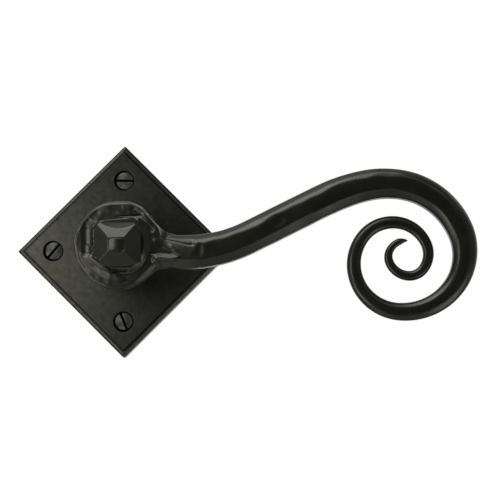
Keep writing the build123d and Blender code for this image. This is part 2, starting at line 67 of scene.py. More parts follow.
def pchip(xs, ys, at):
    """Monotone cubic through the stations."""
    xs, ys = np.asarray(xs, float), np.asarray(ys, float)
    h, slope = np.diff(xs), np.diff(ys) / np.diff(xs)
    m = np.zeros(len(xs))
    for i in range(1, len(xs) - 1):
        if slope[i - 1] * slope[i] > 0:
            a, b = 2 * h[i] + h[i - 1], h[i] + 2 * h[i - 1]
            m[i] = (a + b) / (a / slope[i - 1] + b / slope[i])
    m[0], m[-1] = slope[0], slope[-1]
    at = np.clip(at, xs[0], xs[-1])
    i = np.clip(np.searchsorted(xs, at) - 1, 0, len(xs) - 2)
    t = (at - xs[i]) / h[i]
    return (
        (2 * t**3 - 3 * t**2 + 1) * ys[i]
        + (t**3 - 2 * t**2 + t) * h[i] * m[i]
        + (-2 * t**3 + 3 * t**2) * ys[i + 1]
        + (t**3 - t**2) * h[i] * m[i + 1]
    )


def smooth(t):
    """An even rise from 0 to 1."""
    t = np.clip(t, 0, 1)
    return t * t * (3 - 2 * t)


def soft_max(ds, crisp):
    """Largest of the distances, rounded where two of them are close."""
    top = ds[0]
    for d in ds[1:]:
        top = np.maximum(top, d)
    total = sum(np.exp(crisp * (d - top)) for d in ds)
    return top + np.log(total) / crisp


def soft_min(a, b, width):
    """Smaller of two distances, with a fillet of about a width between them."""
    share = np.clip(0.5 + 0.5 * (b - a) / width, 0, 1)
    return b + (a - b) * share - width * share * (1 - share)


def leaning(out, rise, slope):
    """Distance above a plane through a point, which leans out by an angle from the front."""
    angle = math.radians(slope)
    return out * math.sin(angle) + rise * math.cos(angle)


def facet(x, z, h, turn, slope, radius, height):
    """Distance above a plane that faces out at an angle and slopes back from the front."""
    t = math.radians(turn)
    return leaning(x * math.cos(t) + z * math.sin(t) - radius, h - height, slope)


def facets(x, z, h, rows):
    """Distances above several such planes: direction, slope, and a point (radius, height) of each."""
    return [facet(x, z, h, *row) for row in rows]


# How crisp the edges between the faces of each form are, where more is sharper
CRISP = {
    "rim_walls": 5.0, "rim_bevels": 6.0, "boss": 11.0, "step": 12.0, "wedge": 4.0, "dent": 12.0,
    "chisel": 14.0, "seat": 14.0, "stud": 18.0, "crown_side": 6.0, "crown": 9.0, "moat": 14.0,
    "screw_head": 22.0, "slot": 30.0,
}


# Lever bar: an octagon along a path of straight runs (length, 0) and bends (radius, turn), with its width
# at the end of each run

BAR_H, BAR_DROP = 33.0, 2.5
BAR_GRIP, BAR_ROOT = 11.75, 12.2
SCROLL_R, SCROLL_STEP = 28.0, 60.0
CURL = (1.0, 0.743, 0.811, 0.625, 0.593, 0.489, 0.468, 0.325, 0.232, 0.282, 0.196, 0.236)
TAPER = (0.825, 0.68, 0.545, 0.46, 0.42, 0.39, 0.35, 0.325, 0.303, 0.275, 0.24, 0.2)
# Flare of the root: stations, and how much higher and lower the bar is there, in widths of the root, and
# how much deeper, in halves of it
FLARE_END = 22.0
FLARE_AT = np.array((0.205, 0.386, 0.523, 0.659, 0.818, 1.0)) * FLARE_END
FLARE_UP = (0.934, 0.762, 0.459, 0.139, 0.025, 0.0)
FLARE_DOWN = (0.443, 0.238, 0.041, -0.049, -0.041, 0.0)
FLARE_DEEP = (0.098, 0.082, 0.057, 0.025, 0.008, 0.0)
RUNS = [(FLARE_END + 2.0, 0.0), (53.0, 26.5), (29.0, 0.0), (73.0, -12.4), (37.0, -20.5)]
RUNS += [(SCROLL_R * c, -SCROLL_STEP) for c in CURL]
WIDTHS = [BAR_ROOT, BAR_GRIP, BAR_GRIP, 11.25, 10.6] + [BAR_GRIP * t for t in TAPER]
# Spacing of the points on the path
PATH_STEP = 0.25
# The tip thins over a length to a share of its width, and is rounded off
TIP_LENGTH, TIP_LEAST, TIP_POWER, TIP_ROUND = 3.2, 0.03, 0.6, 0.15
# Lengths along the bar over which the hammer's waves come in, and over which they give way to the coil
FORGED_FROM, FORGED_OVER = 26.0, 12.0
COIL_FROM, COIL_OVER = 100.0, 70.0
# Flats on the edges: how far in they start, in widths of the bar, and what the coil adds to that
INNER_CUT, OUTER_CUT = (0.295, -0.02), (0.18, 0.0)
LOWER_CUT, BACK_CUT = (0.26, 0.02), (0.22, 0.07)
ROOT_LOW = 0.045
UPPER_SLOPES, LOWER_SLOPE = (30.0, 54.0), 45.0
# Rounding of the edges: how crisp they are, for a share of the bar's width and what the coil adds to it
EDGE_CRISP, EDGE_ROUND = 8.4, (0.11, 0.27)
# Waves that the hammer left along the edges and faces: depth, start and length
INNER_WAVE, OUTER_WAVE, LOWER_WAVE = (0.48, 0.6, 11.0), (0.12, 1.9, 8.0), (0.20, 2.2, 16.0)
FRONT_WAVE, UNDER_WAVE = (0.06, 4.1, 9.0), (0.06, 1.3, 11.0)
# Sines that make up a wave: share, pace and lag
WAVE_MIX = ((0.5, 2.9, 1.0), (0.3, 5.3, 2.1), (0.2, 8.7, 3.7))
# The front is slightly round, and leans upwards at the root
FRONT_ROUND = 25.0
ROOT_TILT = 0.22
TILT_AT = (13.0, 18.0, 27.0, 29.0)
TILT_SHARE = (0.0, 1.0, 1.0, 0.0)


def bar_path():
    """Points, headings and lengths along the bar's centre line, and the lengths where its runs end."""
    x, z, heading, length = 0.0, -BAR_DROP, 0.0, 0.0
    pts, turns, lens, ends = [(x, z)], [heading], [0.0], []
    for size, turn in RUNS:
        run = size if turn == 0.0 else size * math.radians(abs(turn))
        count = max(2, round(run / PATH_STEP))
        bend = math.radians(turn) / run
        x0, z0, t0 = x, z, heading
        for i in range(1, count + 1):
            part = run * i / count
            if turn == 0.0:
                x, z = x0 + part * math.cos(t0), z0 + part * math.sin(t0)
            else:
                x = x0 + (math.sin(t0 + bend * part) - math.sin(t0)) / bend
                z = z0 - (math.cos(t0 + bend * part) - math.cos(t0)) / bend
            heading = t0 + bend * part
            pts.append((x, z))
            turns.append(heading)
            lens.append(length + part)
        length += run
        ends.append(length)
    return np.array(pts), np.array(turns), np.array(lens), ends


PATH, HEADING, LENGTH, ENDS = bar_path()
BAR_S = np.array([FLARE_END] + ENDS)
BAR_W = np.array([BAR_ROOT] + WIDTHS)
CELL = 0.5
GRID_X = np.arange(-20.0, 135.0, CELL)
GRID_Z = np.arange(-32.0, 36.0, CELL)


def nearest_points():
    """Nearest path point for each cell of a coarse grid in the plane of the bar."""
    gx, gz = np.meshgrid(GRID_X, GRID_Z, indexing="ij")
    nearest = np.zeros(gx.shape, np.int32)
    best = np.full(gx.shape, np.inf)
    for k in range(0, len(PATH), 2):
        dist = (gx - PATH[k, 0]) ** 2 + (gz - PATH[k, 1]) ** 2
        closer = dist < best
        nearest[closer] = k
        best[closer] = dist[closer]
    return nearest


NEAREST = nearest_points()
# Steps that bring a point's foot on the path from its cell's guess to its place, and the share of each
FOOT_STEPS, FOOT_SHARE = 3, 0.9


def beside_path(x, z, s):
    """How far points lie ahead of, and to the left of, the places at lengths along the path."""
    cx, cz = np.interp(s, LENGTH, PATH[:, 0]), np.interp(s, LENGTH, PATH[:, 1])
    t = np.interp(s, LENGTH, HEADING)
    ahead = (x - cx) * np.cos(t) + (z - cz) * np.sin(t)
    side = (z - cz) * np.cos(t) - (x - cx) * np.sin(t)
    return ahead, side


def along_bar(x, z):
    """Length along the bar for points in its plane, and their offsets to its left and ahead of it."""
    i = np.clip(((x - GRID_X[0]) / CELL + 0.5).astype(int), 0, len(GRID_X) - 1)
    j = np.clip(((z - GRID_Z[0]) / CELL + 0.5).astype(int), 0, len(GRID_Z) - 1)
    s = LENGTH[NEAREST[i, j]]
    for _ in range(FOOT_STEPS):
        ahead, side = beside_path(x, z, s)
        s = np.clip(s + FOOT_SHARE * ahead, 0.0, LENGTH[-1])
    ahead, side = beside_path(x, z, s)
    return s, side, ahead


def wave(s, seed, size):
    """A slow uneven swing between -1 and 1 along the bar, as hand forging leaves."""
    return sum(share * np.sin(s / size * pace + lag * seed) for share, pace, lag in WAVE_MIX)


def bar_distance(x, z, h):
    s, u, ahead = along_bar(x, z)
    v = h - BAR_H
    w = pchip(BAR_S, BAR_W, np.maximum(s, FLARE_END))
    w = w * np.clip((LENGTH[-1] - s) / TIP_LENGTH, TIP_LEAST, 1.0) ** TIP_POWER
    up = w / 2 + BAR_ROOT * pchip(FLARE_AT, FLARE_UP, s)
    down = w / 2 + BAR_ROOT * pchip(FLARE_AT, FLARE_DOWN, s)
    deep = w / 2 + BAR_ROOT / 2 * pchip(FLARE_AT, FLARE_DEEP, s)
    coil = np.clip((s - COIL_FROM) / COIL_OVER, 0, 1)
    forged = np.clip((s - FORGED_FROM) / FORGED_OVER, 0, 1) * (1 - coil)

    def share(row):
        return row[0] + row[1] * coil

    def swing(depth, start, size):
        return depth * forged * wave(s, start, size)

    # the upper front edge is two flats, the lower one is one
    inner = up - w * share(INNER_CUT) - swing(*INNER_WAVE)
    outer = up - w * share(OUTER_CUT) + swing(*OUTER_WAVE)
    drop = (outer - inner) * math.tan(math.radians(UPPER_SLOPES[0]))
    low = down - w * (share(LOWER_CUT) - ROOT_LOW * (1 - forged)) - swing(*LOWER_WAVE)
    back = w * share(BACK_CUT)
    crown = u * u / (2 * FRONT_ROUND) + ROOT_TILT * u * pchip(TILT_AT, TILT_SHARE, s)
    planes = [
        v - deep + crown - swing(*FRONT_WAVE),
        leaning(u - inner, v - deep, UPPER_SLOPES[0]),
        leaning(u - outer, v - deep + drop, UPPER_SLOPES[1]),
        u - up,
        -u - down + swing(*UNDER_WAVE),
        -v - deep,
        leaning(-u - low, v - deep, LOWER_SLOPE),
        (u - v - up - deep + back) / ROOT2,
        (-u - v - down - deep + back) / ROOT2,
    ]
    d = soft_max(planes, EDGE_CRISP / (w * share(EDGE_ROUND)))
    d = np.where(s <= 0.0, np.maximum(d, -ahead), d)
    past = np.maximum(d, np.hypot(np.maximum(d, 0), ahead) - TIP_ROUND)
    return np.where(s >= LENGTH[-1] - 1e-6, past, d)


# Boss: a disc with a step on its front, and a wedge of metal beside the step at the lower left

NECK_FRONT, SHELF, BOSS_FRONT, SEAT_FRONT = 22.0, 39.4, 40.2, 41.2
BOSS_R, BOSS_FOOT_R, BOSS_FOOT_SLOPE = 16.0, 12.6, 60.4
# Distance along the bar from which the boss no longer matters
BOSS_END = 36.0
# Height that the work on the front reaches down to
FRONT_WORK = 36.0
# Flats that the hammer left round the rim: direction, distance from the axis, width and slope of the bevel
RIM_FLATS = [
    (8, 15.98, 0.6, 52), (42, 15.05, 0.35, 50), (66, 15.5, 0.6, 46), (93, 15.6, 1.25, 45),
    (116, 15.45, 0.7, 46), (137, 15.05, 0.5, 50), (163, 16.0, 0.5, 52), (190, 15.65, 0.5, 33),
    (217, 15.4, 0.55, 31), (243, 15.75, 0.55, 30), (268, 15.85, 0.55, 30), (292, 15.75, 0.6, 38),
    (315, 15.65, 1.65, 33), (341, 15.9, 0.6, 50),
]
STEP_R, STEP_SLOPE = 11.9, 42.0
STEP_FLATS = [
    (183.5, 34.0, 10.4, SHELF), (95.8, 82.0, 8.85, 39.9), (130.0, 70.0, 11.9, 39.9),
    (309.0, 14.0, 12.0, 39.75),
]
WEDGE_FLATS = [(224, 17.0, 12.0, 40.05), (242, 19.0, 12.0, 40.2), (262, 20.0, 12.0, 40.0)]
WEDGE_ENDS = [(56.0, 86.0, -9.05, 41.0), (100.0, 38.0, -1.4, 40.0), (5.0, 40.0, 3.6, 40.2)]
WEDGE_R, WEDGE_H, WEDGE_SLOPE = 13.7, 39.6, 60.0
STEP_BLEND, BOSS_BLEND = 1.1, 0.3
# Skin of the boss: direction, length and start of each wave in it, how far their sum swings, and its depth,
# which comes in between two radii and above a height
SKIN_WAVES = [
    (12, 4.6, 0.4), (49, 6.3, 2.0), (83, 4.1, 4.4), (118, 7.2, 1.1), (151, 5.0, 5.3), (171, 3.4, 3.0),
]
SKIN_SWING, SKIN_DEPTH = 3.0, 0.055
SKIN_FROM, SKIN_RISE = 37.5, 1.5
SKIN_INNER, SKIN_OUTER, SKIN_FADE = 10.6, 15.2, 0.8
# Round dents: two ends (x, z, h) of the deepest line, the round of the hammer's face and the depth
DENTS = [
    ((29.3, -4.0, 39.1), (29.5, 1.0, 39.1), 5.0, 0.27),
    ((57.6, 7.6, 38.9), (58.9, 8.3, 38.9), 5.0, 0.36),
    ((-1.6, 13.3, SHELF), (1.0, 13.4, SHELF), 5.0, 0.12),
    ((-9.0, 9.9, SHELF), (-7.4, 11.0, SHELF), 3.2, 0.14),
    ((-11.3, 7.3, SHELF), (-10.2, 8.6, SHELF), 2.6, 0.18),
    ((5.7, 12.4, SHELF), (8.3, 10.8, SHELF), 2.0, 0.34),
    ((-11.3, 4.8, SHELF), (-11.2, 0.6, SHELF), 3.6, 0.42),
    ((-11.5, -1.0, SHELF), (-11.4, -2.6, SHELF), 3.0, 0.30),
    ((-10.6, -7.2, 40.3), (-8.6, -9.4, 40.3), 4.4, 0.15),
    ((-6.2, -11.1, 40.2), (-4.2, -12.0, 40.2), 3.6, 0.15),
    ((3.0, -13.0, 39.8), (4.6, -12.6, 39.8), 3.0, 0.16),
]
# Chisel marks: start and end (x, z, h) of the deepest line, the slopes of its right and left walls and,
# where they are shallow, of its ends
CHISELS = [
    ((-0.5, 10.05, 39.3), (8.3, 10.4, 38.65), 30.0, 62.0),
    ((8.3, 8.9, 38.95), (12.0, 5.1, 38.75), 60.0, 37.0),
    ((-0.6, -9.7, 39.70), (3.6, -9.5, 39.70), 34.0, 55.0),
    ((3.4, -9.6, 39.70), (7.2, -7.0, 39.70), 34.0, 55.0),
    ((1.6, -10.9, 39.50), (4.4, -10.8, 39.50), 34.0, 45.0),
    ((15.0, -3.2, 38.75), (19.2, -3.6, 38.90), 42.0, 13.0, 14.0),
    ((16.8, -1.2, 38.85), (19.2, -2.2, 38.80), 40.0, 12.0, 14.0),
]
CHISEL_ENDS = 28.0
# How far along x a dent or a chisel mark can reach from its middle
TOOL_REACH = 5.0
# Laps where the bar was forged down from the boss: the line (x and z of its points), the height that the
# metal below it stands proud, the width of the step and the width over which it dies away
LAPS = [
    ((12.2, 13.6, 15.7, 17.7, 19.6, 22.2), (-5.5, -4.6, -3.7, -3.9, -4.4, -5.0), 0.95, 1.6, 2.2),
    ((15.6, 17.2, 19.1, 21.0, 23.4), (-0.8, -1.5, -2.5, -3.4, -4.4), 0.66, 1.0, 1.6),
    ((18.0, 19.6, 21.2, 22.6), (0.4, -0.3, -1.2, -1.7), 0.42, 0.9, 1.5),
    ((12.6, 13.8, 15.0, 16.6), (2.6, 1.9, 1.0, -0.2), 0.55, 1.0, 1.5),
    ((13.0, 14.2, 15.4), (0.6, 0.0, -0.7), 0.36, 0.8, 1.2),
]
LAP_START, LAP_END = 1.8, 3.0
LAP_SHARE, LAP_RISE = 0.9, 2.0
# Crease between the root's front and its upper flats
CREASE = ((14.5, 16.75, 21.7, 26.2, 28.0), (3.3, 1.95, 0.75, -0.25, -0.2))
CREASE_DEPTH, CREASE_WIDTH, CREASE_END = 0.22, 0.34, 1.5
# The root, which has the laps and the crease
ROOT_X, ROOT_Z = (11.5, 29.0), (-8.0, 5.0)
# Fillet between boss and bar: its width at the front, and what is added to it further back
FILLET, FILLET_MORE, FILLET_FROM, FILLET_OVER = 1.2, 2.4, 38.5, 2.5
# Openings in the boss: the neck's square socket and the stud's bore
SOCKET_HALF, SOCKET_TOP, BORE_R = 5.56, 37.0, 3.2


def dent(x, z, h, a, b, radius):
    """Distance to a line with a radius round it."""
    p = np.stack([x, z, h], 1)
    a, b = np.array(a), np.array(b)
    t = np.clip(((p - a) @ (b - a)) / ((b - a) @ (b - a)), 0, 1)
    return np.linalg.norm(p - a - t[:, None] * (b - a), axis=1) - radius


def chisel(x, z, h, a, b, right, left, ends=CHISEL_ENDS):
    """How far a point is inside a V-shaped cut with sloping ends."""
    run = math.hypot(b[0] - a[0], b[1] - a[1])
    cx, cz = (b[0] - a[0]) / run, (b[1] - a[1]) / run
    along = (x - a[0]) * cx + (z - a[1]) * cz
    across = (z - a[1]) * cx - (x - a[0]) * cz
    rise = h - a[2] - (b[2] - a[2]) * np.clip(along / run, 0, 1)
    return -soft_max([
        -leaning(across, rise, right), -leaning(-across, rise, left),
        -leaning(along, rise, ends), -leaning(run - along, rise, ends),
    ], CRISP["chisel"])


def laps(x, z):
    """Height that the laps and the crease add to the front of the root."""
    total = np.zeros_like(x)
    for xs, zs, height, width, fade in LAPS:
        below = pchip(xs, zs, x) - z
        ends = smooth((x - xs[0]) / LAP_START) * smooth((xs[-1] - x) / LAP_END)
        proud = height * ends * smooth(below / width + 0.5)
        total += proud * np.clip(1 - (below - width / 2) / fade, 0, 1)
    xs, zs = CREASE
    across = (z - pchip(xs, zs, x)) / CREASE_WIDTH
    ends = smooth((x - xs[0]) / CREASE_END) * smooth((xs[-1] - x) / CREASE_END)
    total -= CREASE_DEPTH * ends * np.exp(-across**2)
    return total


def skin(x, z):
    """Uneven skin that the hammer left on the front of the boss, about -1 to 1."""
    total = np.zeros_like(x)
    for turn, size, start in SKIN_WAVES:
        t = math.radians(turn)
        total += np.sin((x * math.cos(t) + z * math.sin(t)) * 2 * math.pi / size + start)
    return total / SKIN_SWING


def rim_planes(x, z, h):
    """The rim's flats and their bevels, with the corners between neighbours rounded."""
    walls = [facet(x, z, h, turn, 90.0, reach, 0.0) for turn, reach, _, _ in RIM_FLATS]
    bevels = [
        facet(x, z, h, turn, slope, reach, SHELF - width * math.tan(math.radians(slope)))
        for turn, reach, width, slope in RIM_FLATS
    ]
    return [soft_max(walls, CRISP["rim_walls"]), soft_max(bevels, CRISP["rim_bevels"])]


def boss_distance(x, z, h):
    r = np.hypot(x, z)
    foot = leaning(r - BOSS_FOOT_R, NECK_FRONT - h, BOSS_FOOT_SLOPE)
    disc = [NECK_FRONT - h, h - SHELF, foot, r - BOSS_R]
    disc = soft_max(disc + rim_planes(x, z, h), CRISP["boss"])
    step = [h - BOSS_FRONT, FRONT_WORK - h, leaning(r - STEP_R, h - SHELF, STEP_SLOPE)]
    step = soft_max(step + facets(x, z, h, STEP_FLATS), CRISP["step"])
    wedge = facets(x, z, h, WEDGE_FLATS)
    wedge += [FRONT_WORK - h, leaning(r - WEDGE_R, h - WEDGE_H, WEDGE_SLOPE)]
    wedge = soft_max(wedge + facets(x, z, h, WEDGE_ENDS), CRISP["wedge"])
    d = soft_min(disc, soft_min(step, wedge, STEP_BLEND), BOSS_BLEND)
    rough = SKIN_DEPTH * skin(x, z) * smooth((h - SKIN_FROM) / SKIN_RISE)
    return d + rough * smooth((r - SKIN_INNER) / SKIN_FADE) * smooth((SKIN_OUTER - r) / SKIN_FADE)


def tool_reaches(x, h, a, b):
    """Which points a tool mark between two ends can reach."""
    return (np.abs(x - (a[0] + b[0]) / 2) < TOOL_REACH) & (h > FRONT_WORK)


def lever_distance(p):
    x, z, h = p[:, 0], p[:, 1], p[:, 2]
    d = bar_distance(x, z, h)
    near = x < BOSS_END
    if near.any():
        fillet = FILLET + FILLET_MORE * smooth((FILLET_FROM - h[near]) / FILLET_OVER)
        d[near] = soft_min(boss_distance(x[near], z[near], h[near]), d[near], fillet)
    near = (x > ROOT_X[0]) & (x < ROOT_X[1]) & (z > ROOT_Z[0]) & (z < ROOT_Z[1]) & (h > FRONT_WORK)
    if near.any():
        rise = smooth((h[near] - FRONT_WORK) / LAP_RISE)
        d[near] -= LAP_SHARE * laps(x[near], z[near]) * rise
    for a, b, radius, depth in DENTS:
        near = tool_reaches(x, h, a, b)
        if near.any():
            up = np.array((0.0, 0.0, radius - depth))
            cut = -dent(x[near], z[near], h[near], a + up, b + up, radius)
            d[near] = soft_max([d[near], cut], CRISP["dent"])
    for a, b, *slopes in CHISELS:
        near = tool_reaches(x, h, a, b)
        if near.any():
            cut = chisel(x[near], z[near], h[near], a, b, *slopes)
            d[near] = soft_max([d[near], cut], CRISP["chisel"])
    socket = np.maximum(np.maximum(np.abs(x), np.abs(z)) - SOCKET_HALF, h - SOCKET_TOP)
    bore = np.hypot(x, z) - BORE_R
    return np.maximum(d, -np.minimum(socket, bore))


# Seat of the stud: a disc with flats, of which the left one has a beaded edge

SEAT_BACK, SEAT_R, SEAT_SLOPE = 39.9, 10.98, 38.0
SEAT_FLATS = [
    (91.9, 30.0, 8.73, SEAT_FRONT), (95.8, 78.0, 8.98, 40.75), (184.0, 58.0, 8.62, 40.75),
    (140.0, 55.0, 10.2, 40.6), (236.0, 84.0, 8.85, 40.6), (270.0, 52.0, 8.95, 40.8),
]
BEADED = 2
BEADS = ((0.10, 3.6, 0.6), (0.06, 6.1, 2.0))


def seat_distance(p):
    x, z, h = p[:, 0], p[:, 1], p[:, 2]
    r = np.hypot(x, z)
    flats = facets(x, z, h, SEAT_FLATS)
    flats[BEADED] = flats[BEADED] + sum(depth * np.sin(pace * z + start) for depth, pace, start in BEADS)
    disc = [h - SEAT_FRONT, SEAT_BACK - h, leaning(r - SEAT_R, h - BOSS_FRONT, SEAT_SLOPE)]
    return np.maximum(soft_max(disc + flats, CRISP["seat"]), BORE_R - r)


# Stud: where its middle lies beside the axis, half its base, and its corner cuts (direction, reach)

STUD_AT = (0.44, -0.36)
STUD_HALF = (8.35, 7.9)
STUD_CUTS = [(135.0, 10.0), (39.9, 9.47), (218.5, 9.07), (286.7, 8.55)]
# Heights of its walls and its flat top, and the slopes of its sides and of its lower face
STUD_WALL, STUD_TOP = 43.3, 46.45
STUD_SIDE, STUD_LOWER = 29.2, 29.5
# The upper face is in two: a brow along its edge, and a steeper face that meets it in a sagging line
BROW_Z, BROW_H, BROW_TURN, BROW_SLOPE = 5.45, 44.85, 94.0, 25.0
BROW_SAG, BROW_HALF, FACE_SLOPE = 1.25, 6.3, 52.0
# Shank: radius and ends
PIN_R, PIN_BACK, PIN_FRONT = 3.0, 27.7, 42.0
# Crown: its middle beside the stud's, half its sides, its corner cuts, its ends, its round in x and in z
# and the place of its highest line, with a moat round it
CROWN_AT, CROWN_HALF, CROWN_CORNER = (-0.10, -0.40), (2.9, 2.2), 3.3
CROWN_BACK, CROWN_TOP, CROWN_ROUND, CROWN_HIGH = 43.5, 47.0, (17.0, 42.0), 2.0
MOAT_WIDTH, MOAT_FLOOR = 0.14, 46.15


def stud_distance(p):
    x, z, h = p[:, 0], p[:, 1], p[:, 2]
    shank = np.maximum(np.hypot(x, z) - PIN_R, np.maximum(PIN_BACK - h, h - PIN_FRONT))
    x, z = x - STUD_AT[0], z - STUD_AT[1]
    right, left = x - STUD_HALF[0], -x - STUD_HALF[0]
    upper, lower = z - STUD_HALF[1], -z - STUD_HALF[1]
    faces = [right, left, upper, lower, SEAT_FRONT - h]
    faces += [facet(x, z, h, turn, 90.0, reach, 0.0) for turn, reach in STUD_CUTS]
    faces += [
        leaning(right, h - STUD_WALL, STUD_SIDE),
        leaning(left, h - STUD_WALL, STUD_SIDE),
        leaning(lower, h - STUD_WALL, STUD_LOWER),
        facet(x, z, h, BROW_TURN, BROW_SLOPE, BROW_Z, BROW_H),
        leaning(z - BROW_Z - BROW_SAG * (x / BROW_HALF) ** 2, h - BROW_H, FACE_SLOPE),
        h - STUD_TOP,
    ]
    block = soft_max(faces, CRISP["stud"])
    x, z = x - CROWN_AT[0], z - CROWN_AT[1]
    side = soft_max([
        np.abs(x) - CROWN_HALF[0], np.abs(z) - CROWN_HALF[1],
        (np.abs(x) + np.abs(z)) / ROOT2 - CROWN_CORNER,
    ], CRISP["crown_side"])
    moat = np.maximum(side - MOAT_WIDTH, MOAT_FLOOR - h)
    top = h - CROWN_TOP + x * x / CROWN_ROUND[0] + (z - CROWN_HIGH) ** 2 / CROWN_ROUND[1]
    crown = soft_max([side, top, CROWN_BACK - h], CRISP["crown"])
    d = np.minimum(soft_max([block, -moat], CRISP["moat"]), crown)
    return np.minimum(d, shank)


# Rose screws: their ring, the turn of each slot and how far each sits beside the middle of its sink

SCREW_RING = 26.7
SLOT_TURNS = (24.0, -2.0, 49.0, -67.0)
OFF_CENTRE = ((0.05, 0.0), (0.22, 0.0), (0.22, 0.10), (0.10, 0.22))
HEAD_R, HEAD_BACK, HEAD_RIM, HEAD_TOP = 3.34, 6.0, 8.5, 8.95
DOME_R = (HEAD_R**2 + (HEAD_TOP - HEAD_RIM) ** 2) / (2 * (HEAD_TOP - HEAD_RIM))
SLOT_HALF, SLOT_FLOOR = 0.44, 7.9
SHANK_R, SHANK_FRONT = 2.0, 7.1
# Thread: radii, pitch, the ridge's half width in turns, ends, and the length and power of its point
ROOT_R, CREST_R, PITCH, RIDGE = 1.3, 2.0, 1.8, 0.34
THREAD_FRONT, POINT, POINT_LENGTH, POINT_LEAST, POINT_POWER = 0.3, -20.0, 5.0, 0.02, 0.8
# Share that makes a distance of the thread's steep flanks
FLANK_SHARE = 0.75


def screw_distance(p):
    """One wood screw on its own axis, with its slot along x."""
    x, z, h = p[:, 0], p[:, 1], p[:, 2]
    r = np.hypot(x, z)
    dome = np.hypot(r, h - HEAD_TOP + DOME_R) - DOME_R
    sink = (r - HEAD_R - h + HEAD_RIM) / ROOT2
    head = soft_max([dome, r - HEAD_R, sink, HEAD_BACK - h], CRISP["screw_head"])
    slot = np.minimum(SLOT_HALF - np.abs(z), h - SLOT_FLOOR)
    head = soft_max([head, slot], CRISP["slot"])
    shank = np.maximum(r - SHANK_R, np.maximum(-h, h - SHANK_FRONT))
    turns = h / PITCH + np.arctan2(z, x) / (2 * math.pi)
    ridge = np.clip(1.0 - np.abs(turns - np.floor(turns) - 0.5) / RIDGE, 0, 1)
    narrow = np.clip((h - POINT) / POINT_LENGTH, POINT_LEAST, 1.0) ** POINT_POWER
    thread = (r - (ROOT_R + (CREST_R - ROOT_R) * ridge) * narrow) * FLANK_SHARE
    thread = np.maximum(thread, np.maximum(h - THREAD_FRONT, POINT - h))
    return np.minimum(head, np.minimum(shank, thread))


# Meshes of the fields: one vertex in each grid cell that the surface passes through

OFFSETS = [(i, j, k) for i in (0, 1) for j in (0, 1) for k in (0, 1)]
# Coarser grid that finds the cells near a surface: its step in cells and how many such steps count as near
ROUGH_STEP, ROUGH_REACH = 3, 1.75
# Batches that the points of the coarser and of the full grid are worked out in
ROUGH_BATCHES, FULL_BATCHES = 4, 10
# Half the size of the tetrahedron that a slope is taken over, and the least square of it to divide by
SLOPE_EPS, LEAST_SLOPE = 0.02, 0.2
# Rounds that draw the vertices onto the surface and even them out, and the share of each evening
DRAW_ROUNDS, EVEN_ROUNDS, EVEN_SHARE = 2, 2, 0.6


def gradient(field, p):
    """Slope of the field from four samples at the corners of a small tetrahedron."""
    corners = np.array(((1, 1, 1), (1, -1, -1), (-1, 1, -1), (-1, -1, 1)), float)
    return sum(c * field(p + SLOPE_EPS * c)[:, None] for c in corners) / (4 * SLOPE_EPS)


def in_batches(field, points, count):
    """The field at many points, a batch at a time."""
    return np.concatenate([field(part) for part in np.array_split(points, count)])


def axis_slice(axis, part):
    """Index of a 3-D grid that takes a part of one axis and all of the others."""
    index = [slice(None)] * 3
    index[axis] = part
    return tuple(index)


def sampled(field, axes):
    """The field on a grid: exact near its surface, and elsewhere the value at a coarser point."""
    rough_axes = [np.append(a[:-1:ROUGH_STEP], a[-1]) for a in axes]
    grid = np.stack(np.meshgrid(*rough_axes, indexing="ij"), -1)
    rough = in_batches(field, grid.reshape(-1, 3), ROUGH_BATCHES).reshape(grid.shape[:3])
    small = np.abs(rough)
    for axis in range(3):
        low, high = axis_slice(axis, slice(0, -1)), axis_slice(axis, slice(1, None))
        small = np.minimum(small[low], small[high])
    reach = ROUGH_REACH * ROUGH_STEP * max(np.diff(a).max() for a in axes)
    cell = [np.minimum(np.arange(len(a)) // ROUGH_STEP, small.shape[k] - 1) for k, a in enumerate(axes)]
    near = (small < reach)[np.ix_(*cell)]
    # the first layer of each coarse cell also belongs to the cell before it
    for axis in range(3):
        first = axis_slice(axis, slice(ROUGH_STEP, None, ROUGH_STEP))
        before = axis_slice(axis, slice(ROUGH_STEP - 1, -1, ROUGH_STEP))
        near[first] |= near[before]
    values = rough[np.ix_(*cell)]
    at = np.nonzero(near)
    points = np.stack([a[i] for a, i in zip(axes, at)], 1)
    values[at] = in_batches(field, points, FULL_BATCHES)
    return values


def net_vertices(values, axes):
    """A vertex amid the surface's crossings of each cell's edges, and the number of each cell's vertex."""
    inside = values < 0
    nx, ny, nz = (n - 1 for n in values.shape)
    count = sum(inside[i:i + nx, j:j + ny, k:k + nz].astype(np.int8) for i, j, k in OFFSETS)
    active = (count > 0) & (count < len(OFFSETS))
    cells = np.argwhere(active)
    index = np.full(active.shape, -1, np.int64)
    index[active] = np.arange(len(cells))
    total, hits = np.zeros((len(cells), 3)), np.zeros(len(cells))
    for a in OFFSETS:
        for axis in range(3):
            if a[axis]:
                continue
            b = list(a)
            b[axis] = 1
            va, vb = values[tuple((cells + a).T)], values[tuple((cells + b).T)]
            cross = (va < 0) != (vb < 0)
            t = np.where(cross, va / np.where(cross, va - vb, 1.0), 0.0)
            place = np.array(a, float)[None, :].repeat(len(cells), 0)
            place[:, axis] += t
            total += np.where(cross[:, None], place, 0.0)
            hits += cross
    share = total / hits[:, None]
    verts = [a[c] + s * np.diff(a)[c] for a, c, s in zip(axes, cells.T, share.T)]
    return np.stack(verts, 1), index


